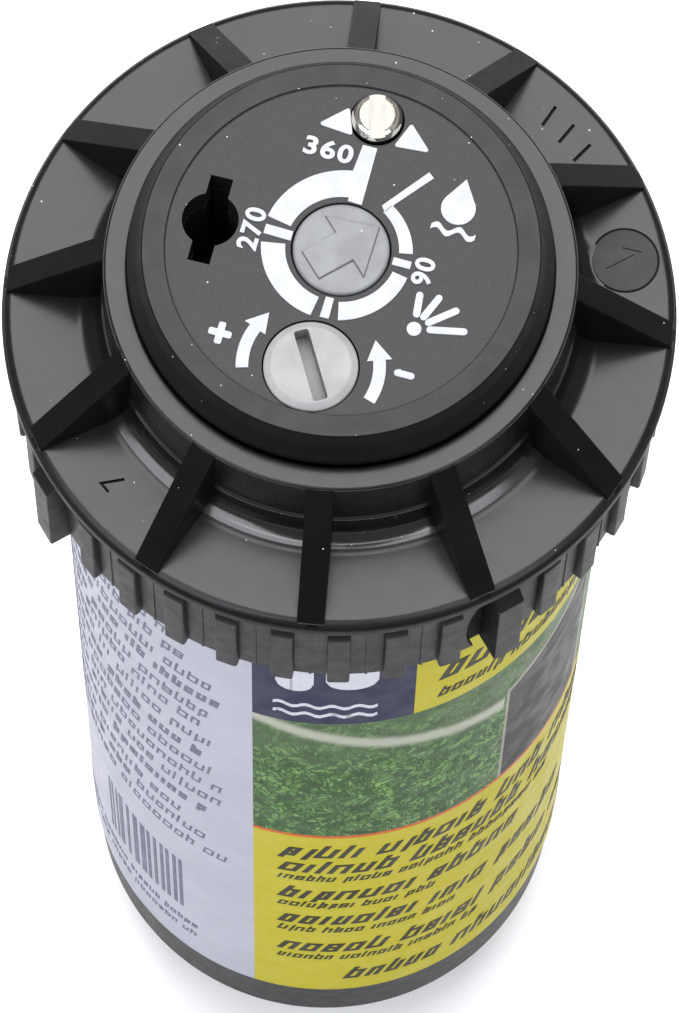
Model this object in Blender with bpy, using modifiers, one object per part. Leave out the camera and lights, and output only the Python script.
"""Pop-up gear-driven sprinkler (rotor), modelled as its separate pieces.

The constants are in millimetres and degrees, and the helpers turn them into metres and radians.
The origin is the middle of the inlet's bottom face, and +Z points up along the axis that the
riser slides on and the turret turns about. The riser is stored retracted.
"""

import math

import bmesh
import bpy
from mathutils import Matrix, Vector

MM = 0.001
GAP = 0.3  # left between pieces that touch
MERGE = 0.00001  # metres, for every modifier that merges points
FINE = 48  # sides of a large turned piece
MEDIUM = 32
SMALL = 24
TINY = 12

# ---- heights along the axis ----
CAN_BOTTOM = 12.0
CAN_FLOOR = 15.0
CAN_TOP = 153.5
RIM_HEIGHT = 156.4  # the cap's widest circle
FLANGE_TOP = RIM_HEIGHT + 0.95
COLLAR_TOP = RIM_HEIGHT + 10.65
SKIRT_BOTTOM = RIM_HEIGHT - 15.5
COVER_TOP = 171.0
HOUSING_TOP = 167.9
HOUSING_BOTTOM = 151.1
RISER_BOTTOM = 15.5
RISER_TOP = 150.8

# ---- can and inlet ----
CAN_RADIUS = 23.95
CAN_WALL = 2.2
CAN_INSIDE = CAN_RADIUS - CAN_WALL
INLET_RADIUS = 10.2
BOSS_RADIUS = 14.2
GUIDE_RIB_COUNT = 6
GUIDE_RIB_INSIDE = 20.75
GUIDE_RIB_WIDTH = 1.2
GUSSET_COUNT = 8

# ---- cap ----
RIM_RADIUS = 28.5
COLLAR_RADIUS = 19.7
COLLAR_BORE = 18.1
SKIRT_RADIUS = 27.3
SKIRT_INSIDE = 25.25
FIN_COUNT = 12
FIN_WIDTH = 2.3
FIN_PHASE = -3.3
LUG_COUNT = 4
LUG_PHASE = 31.5
LUG_RADIUS = 29.1
LUG_WIDTH = 2.4
BAR_COUNT = 36  # places on the skirt; a bar stands in each one that no lug takes
BAR_PHASE = 1.7
BAR_RADIUS = 28.0
BAR_WIDTH = 2.0

# ---- riser and turret ----
RISER_RADIUS = 15.2
RISER_INSIDE = 13.7
RISER_FOOT_RADIUS = 20.2
STROKE = 101.6
SPRING_WIRE = 1.5
SPRING_TURNS = 9
STEM_RADIUS = 5.9
STEM_INSIDE = 4.4
COVER_RADIUS = 17.7
DISC_RADIUS = 14.5
COVER_UNDERSIDE = HOUSING_TOP + GAP

# ---- controls in the cover's top, seen from above ----
LEGEND_TILT = -13.8  # the legend's upright, turned from +Y
ARC_BUTTON_RADIUS = 4.0
ARC_SHAFT_RADIUS = 1.8
ARROW_HEADING = 32.0
STOP_HEADING = 32.0  # the movable stop as stored
STOP_SPACE = 24.0  # from the movable stop to the fixed one, clear of both ends of the setting
FLOW_PLACE = (-2.2, -10.3)
FLOW_RADIUS = 3.9
FLOW_SHAFT_RADIUS = 1.8
FLOW_SLOT = (1.2, 6.2)
SCREW_PLACE = (2.65, 11.6)
SCREW_HEAD_RADIUS = 2.1
SCREW_SHANK_RADIUS = 1.0
SCREW_TOP = 172.0
KEYHOLE_PLACE = (-10.85, 2.3)
KEYHOLE_RADIUS = 2.4
KEYHOLE_BAR = (1.95, 7.7)
NOZZLE_HEADING = 77.0
NOZZLE_RISE = 25.0
NOZZLE_RADIUS = 4.3
NOZZLE_BORE = 1.9

# ---- gear train: each stage turns three to one ----
MODULE = 0.38
PINION_TEETH = 8
WHEEL_TEETH = 24
GEAR_CENTRES = MODULE * (PINION_TEETH + WHEEL_TEETH) / 2
PIN_RADIUS = 0.6
GEAR_BORE = 0.72
WHEEL_THICKNESS = 2.6
PINION_HEIGHT = 4.6
STAGE_RISE = 4.0
FIRST_WHEEL = 87.2
GEARBOX_BOTTOM = 84.0
GEARBOX_SPLIT = 98.0
GEARBOX_TOP = 112.0
GEARBOX_RADIUS = 12.4
GEARBOX_WALL = 1.1

# ---- turbine and bypass valve ----
STATOR = (66.0, 69.0)
VALVE_HEAD = 1.5
VALVE_HEAD_RADIUS = 8.3
VALVE_LIFT = 2.5
TURBINE_BOTTOM = STATOR[1] + VALVE_HEAD + VALVE_LIFT + 2.0
TURBINE_TOP = TURBINE_BOTTOM + 6.0
BLADE_COUNT = 9

# ---- colour, roughness, metallic ----
FINISHES = {
    "gloss_black": ((0.012, 0.012, 0.014), 0.22, 0.0),
    "satin_black": ((0.022, 0.022, 0.024), 0.42, 0.0),
    "black_rubber": ((0.028, 0.028, 0.030), 0.62, 0.0),
    "grey_button": ((0.17, 0.17, 0.175), 0.5, 0.0),
    "light_grey": ((0.33, 0.33, 0.32), 0.5, 0.0),
    "white_acetal": ((0.72, 0.72, 0.69), 0.4, 0.0),
    "blue_nozzle": ((0.03, 0.10, 0.36), 0.4, 0.0),
    "label_film": ((0.62, 0.62, 0.68), 0.35, 0.0),
    "stainless": ((0.62, 0.61, 0.59), 0.28, 1.0),
    "nickel": ((0.72, 0.70, 0.66), 0.2, 1.0),
}


def clear_scene():
    for old in list(bpy.data.objects):
        bpy.data.objects.remove(old, do_unlink=True)


def make_collection(name):
    collection = bpy.data.collections.new(name)
    bpy.context.scene.collection.children.link(collection)
    return collection


clear_scene()
PARTS = make_collection("pop_up_sprinkler")
CUTTERS = make_collection("cutters")


# ---------------------------------------------------------------- helpers


def finish_material(name, finish):
    colour, roughness, metallic = FINISHES[finish]
    material = bpy.data.materials.new(name + "_finish")
    material.use_nodes = True
    shader = material.node_tree.nodes["Principled BSDF"]
    shader.inputs["Base Color"].default_value = (*colour, 1.0)
    shader.inputs["Roughness"].default_value = roughness
    shader.inputs["Metallic"].default_value = metallic
    return material


def place(name, data, finish):
    """Adds an object as a piece with its own material, or as a cutter where finish is None."""
    piece = bpy.data.objects.new(name, data)
    if finish is None:
        CUTTERS.objects.link(piece)
        piece.hide_render = True
        piece.display_type = "WIRE"
    else:
        PARTS.objects.link(piece)
        data.materials.append(finish_material(name, finish))
    return piece


def mesh_from(name, shape):
    mesh = bpy.data.meshes.new(name)
    shape.to_mesh(mesh)
    shape.free()
    return mesh


def turned(name, profile, finish=None, sides=FINE, at=(0.0, 0.0)):
    """A turned piece. The profile's points are (radius, height), round one closed section,
    or from the axis to the axis."""
    loop = list(zip(profile, profile[1:] + profile[:1]))
    area = sum(a[0] * b[1] - b[0] * a[1] for a, b in loop)
    points = profile[::-1] if area > 0 else profile
    solid = profile[0][0] == 0.0 and profile[-1][0] == 0.0
    shape = bmesh.new()
    ring = [shape.verts.new((radius * MM, 0.0, height * MM)) for radius, height in points]
    ends = ring[1:] if solid else ring[1:] + ring[:1]
    for start, end in zip(ring, ends):
        shape.edges.new((start, end))
    piece = place(name, mesh_from(name, shape), finish)
    piece.location = (at[0] * MM, at[1] * MM, 0.0)
    screw = piece.modifiers.new("turn", "SCREW")
    screw.steps = sides
    screw.render_steps = sides
    screw.use_merge_vertices = True
    screw.merge_threshold = MERGE
    screw.use_smooth_shade = True
    return piece


def ring(name, inside, outside, bottom, top, finish=None, sides=SMALL, at=(0.0, 0.0)):
    section = [(inside, top), (outside, top), (outside, bottom), (inside, bottom)]
    return turned(name, section, finish, sides, at)


def rod(name, radius, bottom, top, finish=None, sides=SMALL, at=(0.0, 0.0)):
    section = [(0.0, top), (radius, top), (radius, bottom), (0.0, bottom)]
    return turned(name, section, finish, sides, at)


def plate(name, outline, bottom, top, finish=None):
    """A flat outline, given as (x, y) points, with a thickness."""
    curve = bpy.data.curves.new(name + "_outline", "CURVE")
    curve.dimensions = "2D"
    curve.fill_mode = "BOTH"
    curve.extrude = (top - bottom) / 2 * MM
    spline = curve.splines.new("POLY")
    spline.points.add(len(outline) - 1)
    spline.use_cyclic_u = True
    for point, (x, y) in zip(spline.points, outline):
        point.co = (x * MM, y * MM, 0.0, 1.0)
    guide = bpy.data.objects.new(name + "_outline", curve)
    CUTTERS.objects.link(guide)
    guide.location.z = (top + bottom) / 2 * MM
    bpy.context.view_layer.update()
    evaluated = guide.evaluated_get(bpy.context.evaluated_depsgraph_get())
    shape = bmesh.new()
    shape.from_mesh(bpy.data.meshes.new_from_object(evaluated))
    bmesh.ops.remove_doubles(shape, verts=shape.verts, dist=MERGE)
    bmesh.ops.recalc_face_normals(shape, faces=shape.faces)
    piece = place(name, mesh_from(name, shape), finish)
    piece.matrix_world = guide.matrix_world
    bpy.data.objects.remove(guide, do_unlink=True)
    return piece


def around(angle, radius=0.0, height=0.0):
    """The frame of a feature that stands at an angle and radius, with its x axis outward."""
    turn = Matrix.Rotation(math.radians(angle), 4, "Z")
    return turn @ Matrix.Translation(Vector((radius, 0.0, height)) * MM)


def boxes(name, size, frames, finish=None):
    """Blocks of one size (x, y, z), one in each frame, as one object."""
    shape = bmesh.new()
    scale = Matrix.Diagonal((*(side * MM for side in size), 1.0))
    for frame in frames:
        bmesh.ops.create_cube(shape, size=1.0, matrix=frame @ scale)
    return place(name, mesh_from(name, shape), finish)


def drills(name, radius, depth, frames, sides=TINY):
    """Round cutters of one size along each frame's z axis, as one object."""
    shape = bmesh.new()
    for frame in frames:
        bmesh.ops.create_cone(
            shape, cap_ends=True, segments=sides, matrix=frame,
            radius1=radius * MM, radius2=radius * MM, depth=depth * MM,
        )
    return place(name, mesh_from(name, shape), None)


def fins(name, outline, width, angles):
    """Upright plates standing out from the axis: the outline's points are (radius, height)."""
    single = plate(name + "_single", outline, -width / 2, width / 2)
    upright = Matrix.Rotation(math.radians(90.0), 4, "X")
    shape = bmesh.new()
    for angle in angles:
        count = len(shape.verts)
        shape.from_mesh(single.data)
        shape.verts.ensure_lookup_table()
        turn = Matrix.Rotation(math.radians(angle), 4, "Z") @ upright
        bmesh.ops.transform(shape, matrix=turn, verts=shape.verts[count:])
    bpy.data.objects.remove(single, do_unlink=True)
    return place(name, mesh_from(name, shape), None)


def combine(piece, tool, operation):
    modifier = piece.modifiers.new(tool.name, "BOOLEAN")
    modifier.operation = operation
    modifier.object = tool
    modifier.solver = "EXACT"


def cut(piece, *tools):
    for tool in tools:
        combine(piece, tool, "DIFFERENCE")


def join(piece, *tools):
    for tool in tools:
        combine(piece, tool, "UNION")


def coil(name, radius, wire, bottom, top, turns, finish, steps=8, at=(0.0, 0.0)):
    """A round-wire spring between two heights, with one closed turn at each end."""
    curve = bpy.data.curves.new(name, "CURVE")
    curve.dimensions = "3D"
    curve.bevel_depth = wire / 2 * MM
    curve.bevel_resolution = 1 if wire > 1.0 else 0
    curve.use_fill_caps = True
    closed_pitch = wire + 0.2
    low = bottom + wire / 2
    high = top - wire / 2
    open_pitch = (high - low - 2 * closed_pitch) / (turns - 2)
    count = turns * steps
    spline = curve.splines.new("POLY")
    spline.points.add(count)
    for number, point in enumerate(spline.points):
        turn = number / steps
        height = low + closed_pitch * min(turn, 1.0)
        height += open_pitch * min(max(turn - 1.0, 0.0), turns - 2)
        height += closed_pitch * max(turn - (turns - 1), 0.0)
        angle = 2 * math.pi * turn
        x = at[0] + radius * math.cos(angle)
        y = at[1] + radius * math.sin(angle)
        point.co = (x * MM, y * MM, height * MM, 1.0)
    return place(name, curve, finish)


def spread(count, first=0.0):
    return [first + 360.0 * number / count for number in range(count)]


# ---------------------------------------------------------------- static housing


def make_can():
    can = turned("body_can", [
        (CAN_INSIDE, CAN_TOP),
        (CAN_RADIUS, CAN_TOP),
        (CAN_RADIUS, CAN_BOTTOM + 0.9),
        (CAN_RADIUS - 0.9, CAN_BOTTOM),
        (BOSS_RADIUS, CAN_BOTTOM),
        (BOSS_RADIUS, 0.0),
        (INLET_RADIUS + 0.8, 0.0),
        (INLET_RADIUS, 0.8),
        (INLET_RADIUS, CAN_FLOOR),
        (CAN_INSIDE, CAN_FLOOR),
    ], "satin_black")
    rib_depth = CAN_INSIDE - GUIDE_RIB_INSIDE + 0.8
    rib_height = CAN_TOP - 2.0 - CAN_FLOOR
    rib_middle = GUIDE_RIB_INSIDE + rib_depth / 2
    ribs = boxes(
        "guide_ribs", (rib_depth, GUIDE_RIB_WIDTH, rib_height + 0.4),
        [around(angle, rib_middle, CAN_FLOOR + rib_height / 2) for angle in spread(GUIDE_RIB_COUNT)],
    )
    gusset = [
        (BOSS_RADIUS - 0.8, 3.0),
        (BOSS_RADIUS + 1.2, 3.0),
        (CAN_RADIUS - 2.5, CAN_BOTTOM - 1.2),
        (CAN_RADIUS - 2.5, CAN_BOTTOM + 0.8),
        (BOSS_RADIUS - 0.8, CAN_BOTTOM + 0.8),
    ]
    gussets = fins("boss_gussets", gusset, 1.6, spread(GUSSET_COUNT, 22.5))
    join(can, ribs, gussets)


def make_label():
    """Printed film round the can, open at a seam at the back."""
    label = turned("label", [
        (CAN_RADIUS + 0.4, SKIRT_BOTTOM - 0.5),
        (CAN_RADIUS + 0.4, RIM_HEIGHT - 134.9),
        (CAN_RADIUS + 0.15, RIM_HEIGHT - 134.9),
        (CAN_RADIUS + 0.15, SKIRT_BOTTOM - 0.5),
    ], "label_film")
    seam = boxes("label_seam", (4.0, 1.0, 130.0), [around(90.0, CAN_RADIUS, 80.0)])
    cut(label, seam)


def bar_headings():
    """Where the grip bars stand: evenly, but for the places of the lugs."""
    lugs = spread(LUG_COUNT, LUG_PHASE)
    return [
        angle for angle in spread(BAR_COUNT, BAR_PHASE)
        if all(abs((angle - lug + 180.0) % 360.0 - 180.0) > 5.0 for lug in lugs)
    ]


def make_cap():
    cap = turned("body_cap", [
        (COLLAR_BORE, COLLAR_TOP - 0.3),
        (COLLAR_BORE + 0.3, COLLAR_TOP),
        (COLLAR_RADIUS - 0.4, COLLAR_TOP),
        (COLLAR_RADIUS, COLLAR_TOP - 0.4),
        (20.5, FLANGE_TOP + 2.3),
        (20.85, FLANGE_TOP + 0.8),
        (21.8, FLANGE_TOP),
        (RIM_RADIUS - 0.8, FLANGE_TOP),
        (RIM_RADIUS, RIM_HEIGHT + 0.2),
        (RIM_RADIUS, RIM_HEIGHT - 0.9),
        (SKIRT_RADIUS, RIM_HEIGHT - 1.4),
        (SKIRT_RADIUS, SKIRT_BOTTOM),
        (SKIRT_INSIDE, SKIRT_BOTTOM),
        (SKIRT_INSIDE, RIM_HEIGHT - 1.3),
        (19.0, RIM_HEIGHT - 1.3),
        (19.0, RIM_HEIGHT + 4.5),
        (16.2, RIM_HEIGHT + 4.5),
        (16.2, RIM_HEIGHT + 6.0),
        (COLLAR_BORE, RIM_HEIGHT + 6.0),
    ], "gloss_black")
    gusset = [
        (COLLAR_RADIUS - 0.5, COLLAR_TOP - 0.15),
        (RIM_RADIUS - 0.45, FLANGE_TOP + 0.15),
        (RIM_RADIUS - 0.45, FLANGE_TOP - 0.9),
        (COLLAR_RADIUS - 0.5, FLANGE_TOP - 0.9),
    ]
    gussets = fins("cap_gussets", gusset, FIN_WIDTH, spread(FIN_COUNT, FIN_PHASE))
    lug = [
        (SKIRT_RADIUS - 0.9, RIM_HEIGHT - 2.0),
        (LUG_RADIUS - 1.2, RIM_HEIGHT - 2.0),
        (LUG_RADIUS, RIM_HEIGHT - 3.2),
        (LUG_RADIUS, SKIRT_BOTTOM - 0.4),
        (SKIRT_RADIUS - 0.9, SKIRT_BOTTOM - 0.4),
    ]
    lugs = fins("cap_lugs", lug, LUG_WIDTH, spread(LUG_COUNT, LUG_PHASE))
    bar = [
        (SKIRT_RADIUS - 0.6, RIM_HEIGHT - 3.4),
        (BAR_RADIUS - 0.3, RIM_HEIGHT - 3.4),
        (BAR_RADIUS, RIM_HEIGHT - 4.0),
        (BAR_RADIUS, SKIRT_BOTTOM - 0.1),
        (SKIRT_RADIUS - 0.6, SKIRT_BOTTOM - 0.1),
    ]
    bars = fins("cap_bars", bar, BAR_WIDTH, bar_headings())
    notches = boxes(
        "cap_notches", (6.0, 1.4, 12.0),
        [around(angle, SKIRT_RADIUS, SKIRT_BOTTOM + 4.5) for angle in spread(LUG_COUNT, LUG_PHASE - 4.4)],
    )
    join(cap, gussets, lugs, bars)
    cut(cap, notches)


def make_seals():
    ring("cap_seal", 22.0, 24.6, CAN_TOP + GAP, RIM_HEIGHT - 1.3 - GAP, "black_rubber", MEDIUM)
    low = RIM_HEIGHT + 1.4
    turned("wiper_seal", [
        (15.5, low + 2.4),
        (16.1, low + 2.8),
        (18.7, low + 2.8),
        (18.7, low),
        (16.9, low),
        (16.4, low + 1.2),
        (15.8, low + 0.3),
        (15.5, low + 0.9),
    ], "black_rubber", MEDIUM)
    ring("seal_retainer", 15.7, 18.7, RIM_HEIGHT - 0.4, RIM_HEIGHT + 1.1, "white_acetal", MEDIUM)


def make_retraction_spring():
    bottom = 22.0 + GAP
    top = RIM_HEIGHT - 0.4 - GAP
    assert top - bottom - STROKE > SPRING_TURNS * SPRING_WIRE, "the spring binds before full stroke"
    coil("retraction_spring", 17.6, SPRING_WIRE, bottom, top, SPRING_TURNS, "stainless", 12)


# ---------------------------------------------------------------- riser


def make_ratchet_ring():
    """Slides on the can's guide ribs and carries the riser's foot."""
    ratchet = turned("ratchet_ring", [
        (15.6, 22.0),
        (21.3, 22.0),
        (21.3, 18.0),
        (15.6, 18.0),
    ], "white_acetal", FINE)
    notch_width = GUIDE_RIB_WIDTH + 2 * GAP
    notches = boxes(
        "ratchet_notches", (4.0, notch_width, 8.0),
        [around(angle, GUIDE_RIB_INSIDE - GAP + 2.0, 20.0) for angle in spread(GUIDE_RIB_COUNT)],
    )
    cut(ratchet, notches)


def make_riser_tube():
    turned("riser_tube", [
        (9.5, RISER_TOP),
        (RISER_RADIUS, RISER_TOP),
        (RISER_RADIUS, 17.7),
        (RISER_FOOT_RADIUS, 17.7),
        (RISER_FOOT_RADIUS, RISER_BOTTOM),
        (RISER_INSIDE, RISER_BOTTOM),
        (RISER_INSIDE, 143.5),
        (7.4, 143.5),
        (7.4, 147.0),
        (9.5, 147.0),
    ], "satin_black", MEDIUM)


def make_filter_screen():
    screen = turned("filter_screen", [
        (0.0, 17.0),
        (10.6, 17.0),
        (11.2, 32.5),
        (13.3, 32.5),
        (13.3, 34.0),
        (10.3, 34.0),
        (9.7, 18.0),
        (0.0, 18.0),
    ], "white_acetal", SMALL)
    slots = boxes(
        "screen_slots", (3.0, 1.6, 11.0),
        [around(angle, 10.5, 25.0) for angle in spread(12, 7.5)],
    )
    cut(screen, slots)


def make_stator():
    bottom, top = STATOR
    middle = (bottom + top) / 2
    stator = ring("stator", 1.5, RISER_INSIDE - GAP, bottom, top, "white_acetal")
    ports = drills(
        "bypass_ports", 1.5, 8.0,
        [around(angle, 5.4, middle) for angle in spread(6)], 8,
    )
    lean = Matrix.Rotation(math.radians(30.0), 4, "X")
    jets = drills(
        "stator_jets", 1.0, 10.0,
        [around(angle, 10.8, middle) @ lean for angle in spread(6, 30.0)], 8,
    )
    cut(stator, ports, jets)


def make_bypass_valve():
    """Opens upward against its spring when the flow is more than the jets take."""
    bottom, top = STATOR
    turned("bypass_valve", [
        (0.0, top + GAP + VALVE_HEAD),
        (VALVE_HEAD_RADIUS - 0.6, top + GAP + VALVE_HEAD),
        (VALVE_HEAD_RADIUS, top + GAP),
        (1.1, top + GAP),
        (1.1, bottom - 8.0),
        (0.0, bottom - 8.0),
    ], "white_acetal", SMALL)
    ring("valve_clip", 1.25, 2.8, bottom - 7.5, bottom - 6.5, "stainless", TINY)
    coil("valve_spring", 2.1, 0.4, bottom - 6.5 + GAP, bottom - GAP, 6, "stainless", 8)


def make_gearbox():
    inside = GEARBOX_RADIUS - GEARBOX_WALL
    lower = turned("gearbox_lower", [
        (1.0, GEARBOX_BOTTOM),
        (GEARBOX_RADIUS, GEARBOX_BOTTOM),
        (GEARBOX_RADIUS, GEARBOX_SPLIT),
        (inside, GEARBOX_SPLIT),
        (inside, GEARBOX_BOTTOM + 1.5),
        (1.0, GEARBOX_BOTTOM + 1.5),
    ], "white_acetal", MEDIUM)
    feet = boxes(
        "gearbox_feet", (2.0, 2.0, 6.0),
        [around(angle, RISER_INSIDE - GAP - 1.0, GEARBOX_BOTTOM + 4.0) for angle in spread(3, 60.0)],
    )
    join(lower, feet)
    turned("gearbox_upper", [
        (3.0, GEARBOX_TOP),
        (GEARBOX_RADIUS, GEARBOX_TOP),
        (GEARBOX_RADIUS, GEARBOX_SPLIT + GAP),
        (inside, GEARBOX_SPLIT + GAP),
        (inside, GEARBOX_TOP - 1.5),
        (3.0, GEARBOX_TOP - 1.5),
    ], "white_acetal", MEDIUM)
    rod(
        "gear_pin", PIN_RADIUS, GEARBOX_BOTTOM + 1.5 + GAP, GEARBOX_TOP - 1.5 - GAP,
        "stainless", TINY, (GEAR_CENTRES, 0.0),
    )


def make_turbine():
    turbine = ring("turbine", 0.8, 3.6, TURBINE_BOTTOM, TURBINE_TOP, "white_acetal")
    middle = (TURBINE_BOTTOM + TURBINE_TOP) / 2
    lean = Matrix.Rotation(math.radians(35.0), 4, "X")
    blades = boxes(
        "turbine_blades", (8.5, 0.9, 5.6),
        [around(angle, 7.2, middle) @ lean for angle in spread(BLADE_COUNT)],
    )
    join(turbine, blades)
    shaft_top = FIRST_WHEEL + 3 * STAGE_RISE + 5.0
    rod("turbine_shaft", PIN_RADIUS, TURBINE_BOTTOM - 1.0, shaft_top, "stainless", TINY)


def tooth_outline(teeth, phase):
    """Straight-sided teeth with running clearance, one tooth's middle at the phase angle."""
    pitch_radius = MODULE * teeth / 2
    tip = pitch_radius + 0.75 * MODULE
    root = pitch_radius - 1.1 * MODULE
    half_tip = 0.20 * MODULE
    half_root = 0.62 * MODULE
    outline = []
    for middle in spread(teeth, phase):
        for radius, half_width in ((root, -half_root), (tip, -half_tip), (tip, half_tip), (root, half_root)):
            angle = math.radians(middle) + half_width / radius
            outline.append((radius * math.cos(angle), radius * math.sin(angle)))
    return outline


def toothed(name, teeth, phase, bottom, top, at, finish=None):
    piece = plate(name, tooth_outline(teeth, phase), bottom, top, finish)
    piece.location.x = at[0] * MM
    piece.location.y = at[1] * MM
    return piece


def reduction_gear(number, bottom, at, toward):
    """A wheel with a pinion on top. The wheel has a gap, and the pinion a tooth, at `toward`."""
    name = "reduction_gear_%d" % number
    half_tooth = 180.0 / WHEEL_TEETH
    top = bottom + WHEEL_THICKNESS
    gear = toothed(name, WHEEL_TEETH, toward + half_tooth, bottom, top, at, "white_acetal")
    low = top - 0.2
    pinion = toothed(name + "_pinion", PINION_TEETH, toward, low, low + PINION_HEIGHT, at)
    join(gear, pinion)
    cut(gear, rod(name + "_bore", GEAR_BORE, bottom - 1.0, low + PINION_HEIGHT + 1.0, None, TINY, at))


def make_gear_train():
    axis = (0.0, 0.0)
    side = (GEAR_CENTRES, 0.0)
    low = FIRST_WHEEL - 0.6
    pinion = toothed("turbine_pinion", PINION_TEETH, 0.0, low, low + 3.8, axis, "white_acetal")
    cut(pinion, rod("turbine_pinion_bore", GEAR_BORE, FIRST_WHEEL - 2.0, FIRST_WHEEL + 5.0, None, TINY))
    reduction_gear(1, FIRST_WHEEL, side, 180.0)
    reduction_gear(2, FIRST_WHEEL + STAGE_RISE, axis, 0.0)
    reduction_gear(3, FIRST_WHEEL + 2 * STAGE_RISE, side, 180.0)
    bottom = FIRST_WHEEL + 3 * STAGE_RISE
    top = bottom + WHEEL_THICKNESS
    output = toothed(
        "output_gear", WHEEL_TEETH, 180.0 / WHEEL_TEETH, bottom, top, axis, "white_acetal",
    )
    join(output, rod("output_hub", 2.4, top - 0.2, bottom + 5.8))
    cut(output, rod("output_bore", GEAR_BORE, bottom - 1.0, bottom + 7.0, None, TINY))


def make_reversing_lever():
    low = GEARBOX_TOP + 1.3
    pivot = (0.0, -8.0)
    half = [(7.0, -1.2), (8.4, -0.6), (8.4, 0.6), (7.0, 1.2)]
    outline = half + [(-x, -y) for x, y in half]
    lever = plate("trip_lever", [(x, y + pivot[1]) for x, y in outline], low, low + 1.6, "light_grey")
    cut(lever, rod("trip_lever_bore", 0.95, low - 1.0, low + 3.0, None, TINY, pivot))
    rod("trip_pin", 0.75, GEARBOX_TOP + GAP, low + 5.6, "stainless", TINY, pivot)
    spring_low = low + 1.6 + GAP
    coil("snap_spring", 1.6, 0.5, spring_low, spring_low + 2.9, 4, "stainless", 8, pivot)


# ---------------------------------------------------------------- turret


def make_stem():
    shaft = rod("drive_shaft", 2.6, 105.2 + GAP, 132.0, "white_acetal")
    keys = boxes("drive_keys", (4.2, 1.4, 4.0), [around(angle, 2.1, 129.6) for angle in spread(3)])
    join(shaft, keys)
    ring("turret_stem", STEM_INSIDE, STEM_RADIUS, 127.6, HOUSING_BOTTOM - GAP, "white_acetal")
    ring("stem_bearing", STEM_RADIUS + 0.2, 7.1, 143.8, 146.7, "blue_nozzle")
    ring("stem_clip", STEM_RADIUS + 0.15, 8.6, 141.8, 143.2, "stainless")
    ring("turret_seal", STEM_RADIUS + 0.4, 9.2, 147.3, 148.6, "black_rubber")
    ring("thrust_washer", STEM_RADIUS + 0.4, 9.2, 148.9, HOUSING_BOTTOM - GAP, "stainless")


def stop_ring(name, bottom, heading, finish):
    """A ring on the stem with a tab hanging from its rim to just above the trip lever."""
    stop = ring(name, STEM_RADIUS + 0.2, 8.2, bottom, bottom + 2.4, finish)
    low = GEARBOX_TOP + 7.4
    high = bottom + 1.6
    arm = boxes(name + "_arm", (4.6, 2.4, 1.8), [around(heading, 9.6, bottom + 1.2)])
    tab = boxes(name + "_tab", (1.6, 2.0, high - low), [around(heading, 11.0, (high + low) / 2)])
    join(stop, arm, tab)


def nozzle_frame(distance):
    """Along the nozzle: z points out of its mouth, from a point on the axis in the turret."""
    turn = Matrix.Rotation(math.radians(NOZZLE_HEADING), 4, "Z")
    lean = Matrix.Rotation(math.radians(90.0 - NOZZLE_RISE), 4, "Y")
    start = Matrix.Translation(Vector((0.0, 0.0, 153.6)) * MM)
    return start @ turn @ lean @ Matrix.Translation(Vector((0.0, 0.0, distance)) * MM)


def keyhole_frame(height):
    turn = Matrix.Rotation(math.radians(LEGEND_TILT), 4, "Z")
    where = Vector((*KEYHOLE_PLACE, height)) * MM
    return Matrix.Translation(where) @ turn


def make_nozzle_housing():
    housing = turned("nozzle_housing", [
        (ARC_SHAFT_RADIUS + GAP, HOUSING_TOP),
        (RISER_RADIUS - 0.4, HOUSING_TOP),
        (RISER_RADIUS, HOUSING_TOP - 0.4),
        (RISER_RADIUS, HOUSING_BOTTOM),
        (STEM_INSIDE, HOUSING_BOTTOM),
        (STEM_INSIDE, HOUSING_BOTTOM + 5.0),
        (ARC_SHAFT_RADIUS + GAP, HOUSING_BOTTOM + 5.0),
    ], "satin_black")
    port = drills("nozzle_port", NOZZLE_RADIUS + GAP, 16.0, [nozzle_frame(11.0)], SMALL)
    flow_hole = rod("flow_hole", FLOW_SHAFT_RADIUS + GAP, 158.0, 180.0, None, SMALL, FLOW_PLACE)
    flow_pocket = rod("flow_pocket", 4.0, 153.2, 159.0, None, SMALL, FLOW_PLACE)
    flow_passage = boxes("flow_passage", (8.0, 3.0, 3.0), [around(-102.0, 6.5, 154.8)])
    screw_hole = rod("radius_screw_hole", SCREW_SHANK_RADIUS + GAP, 162.0, 180.0, None, TINY, SCREW_PLACE)
    lift_hole = rod("lift_hole", KEYHOLE_RADIUS, 160.0, 180.0, None, SMALL, KEYHOLE_PLACE)
    lift_slot = boxes("lift_slot", (*KEYHOLE_BAR, 12.0), [keyhole_frame(167.0)])
    cut(housing, port, flow_hole, flow_pocket, flow_passage, screw_hole, lift_hole, lift_slot)


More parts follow.
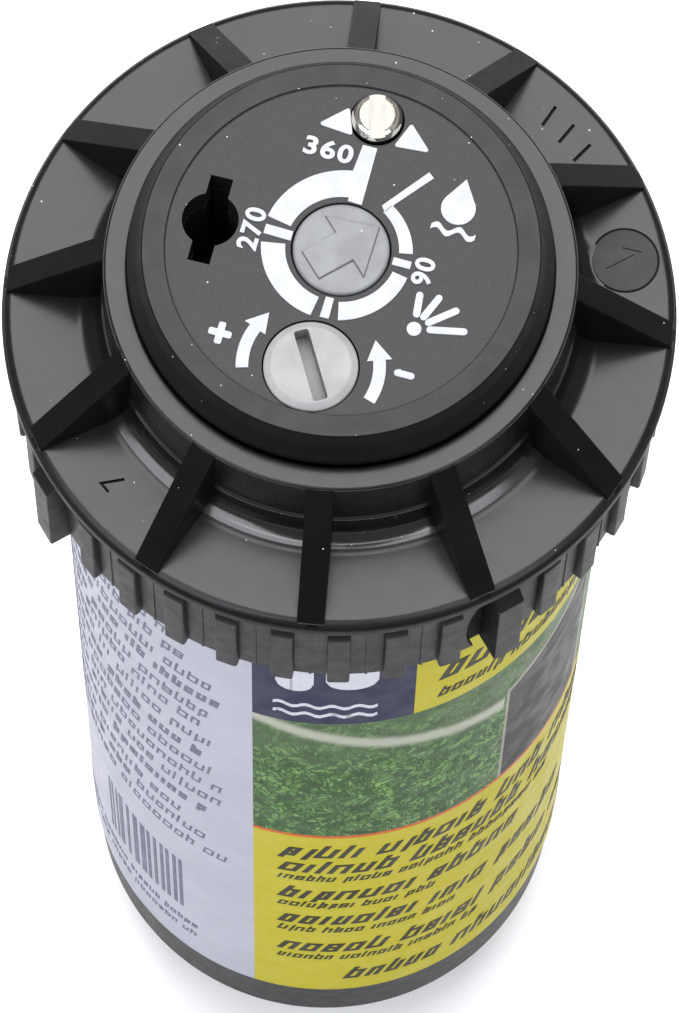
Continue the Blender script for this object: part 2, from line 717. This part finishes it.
def make_riser_cover():
    """Rubber cap on the turret, with the legend's shallow disc in its top."""
    cover = turned("riser_cover", [
        (ARC_BUTTON_RADIUS + GAP, COVER_TOP - 0.2),
        (DISC_RADIUS, COVER_TOP - 0.2),
        (DISC_RADIUS + 0.15, COVER_TOP),
        (16.1, COVER_TOP),
        (16.5, COVER_TOP - 0.4),
        (COVER_RADIUS, COVER_TOP - 2.3),
        (COVER_RADIUS, COVER_TOP - 3.3),
        (17.0, COVER_TOP - 4.1),
        (RISER_RADIUS + GAP, COVER_TOP - 4.1),
        (RISER_RADIUS + GAP, COVER_UNDERSIDE),
        (ARC_BUTTON_RADIUS + GAP, COVER_UNDERSIDE),
    ], "black_rubber", MEDIUM)
    flow_hole = rod("cover_flow_hole", FLOW_RADIUS + GAP, 160.0, 180.0, None, SMALL, FLOW_PLACE)
    screw_hole = rod("cover_screw_hole", SCREW_HEAD_RADIUS + GAP, 160.0, 180.0, None, SMALL, SCREW_PLACE)
    key_hole = rod("cover_key_hole", KEYHOLE_RADIUS, 160.0, 180.0, None, SMALL, KEYHOLE_PLACE)
    key_slot = boxes("cover_key_slot", (*KEYHOLE_BAR, 10.0), [keyhole_frame(170.0)])
    cut(cover, flow_hole, screw_hole, key_hole, key_slot)


def make_nozzle():
    length = 7.0
    nozzle = turned("nozzle", [
        (NOZZLE_BORE, length),
        (NOZZLE_RADIUS, length),
        (NOZZLE_RADIUS, 0.0),
        (3.4, 0.0),
        (NOZZLE_BORE, 3.0),
    ], "blue_nozzle", SMALL)
    nozzle.matrix_world = nozzle_frame(5.2)


def arrow_outline():
    """Block arrow: a shaft and a wide head, pointing along the arrow's heading."""
    points = [(-2.9, -1.4), (0.3, -1.4), (0.3, -3.15), (3.65, 0.0), (0.3, 3.15), (0.3, 1.4), (-2.9, 1.4)]
    turn = Matrix.Rotation(math.radians(ARROW_HEADING), 2)
    return [tuple(turn @ Vector(point)) for point in points]


def make_arc_button():
    """The arc-setting button on the turret's axis, with its shaft down into the stem."""
    top = COVER_TOP - 0.1
    button = turned("arc_button", [
        (0.0, top),
        (ARC_BUTTON_RADIUS - 0.3, top),
        (ARC_BUTTON_RADIUS, top - 0.3),
        (ARC_BUTTON_RADIUS, COVER_UNDERSIDE + GAP),
        (ARC_SHAFT_RADIUS, COVER_UNDERSIDE + GAP),
        (ARC_SHAFT_RADIUS, 134.0),
        (0.0, 134.0),
    ], "grey_button", SMALL)
    arrow = plate("arc_arrow", arrow_outline(), top - 0.4, top + 0.35)
    join(button, arrow)


def make_flow_screw():
    """The slotted flow-control screw, and the gate that it swings across the passage."""
    top = COVER_TOP - 0.1
    shape = [
        (0.0, top),
        (FLOW_RADIUS - 0.3, top),
        (FLOW_RADIUS, top - 0.3),
        (FLOW_RADIUS, COVER_UNDERSIDE + GAP),
        (FLOW_SHAFT_RADIUS, COVER_UNDERSIDE + GAP),
        (FLOW_SHAFT_RADIUS, 157.6),
        (0.0, 157.6),
    ]
    screw = turned("flow_screw", shape, "light_grey", SMALL, FLOW_PLACE)
    centre = Matrix.Translation(Vector((*FLOW_PLACE, top)) * MM)
    slot_turn = Matrix.Rotation(math.radians(16.0), 4, "Z")
    cut(screw, boxes("flow_slot", (*FLOW_SLOT, 2.6), [centre @ slot_turn]))
    gate = ring("flow_gate", 0.8, 2.0, 153.6, 157.3, "light_grey", SMALL, FLOW_PLACE)
    wing_place = Matrix.Translation(Vector((*FLOW_PLACE, 155.4)) * MM)
    wing = boxes("flow_gate_wing", (2.2, 2.4, 3.0), [wing_place @ around(90.0, 2.5)])
    join(gate, wing)


def make_radius_screw():
    """Turns down into the stream in front of the nozzle to break it up."""
    screw = turned("radius_screw", [
        (0.0, SCREW_TOP),
        (SCREW_HEAD_RADIUS - 0.6, SCREW_TOP),
        (SCREW_HEAD_RADIUS, SCREW_TOP - 0.6),
        (SCREW_HEAD_RADIUS, COVER_UNDERSIDE + GAP),
        (SCREW_SHANK_RADIUS, COVER_UNDERSIDE + GAP),
        (SCREW_SHANK_RADIUS, 162.6),
        (0.5, 162.0),
        (0.0, 162.0),
    ], "nickel", SMALL, SCREW_PLACE)
    centre = Matrix.Translation(Vector((*SCREW_PLACE, SCREW_TOP)) * MM)
    cut(screw, boxes("radius_slot", (1.2, 8.0, 2.4), [centre]))


def main():
    make_can()
    make_label()
    make_cap()
    make_seals()
    make_retraction_spring()
    make_ratchet_ring()
    make_riser_tube()
    make_filter_screen()
    make_stator()
    make_bypass_valve()
    make_gearbox()
    make_turbine()
    make_gear_train()
    make_reversing_lever()
    make_stem()
    stop_ring("fixed_stop", 133.0, STOP_HEADING + STOP_SPACE, "white_acetal")
    stop_ring("arc_stop", 137.0, STOP_HEADING, "grey_button")
    make_nozzle_housing()
    make_riser_cover()
    make_nozzle()
    make_arc_button()
    make_flow_screw()
    make_radius_screw()


main()
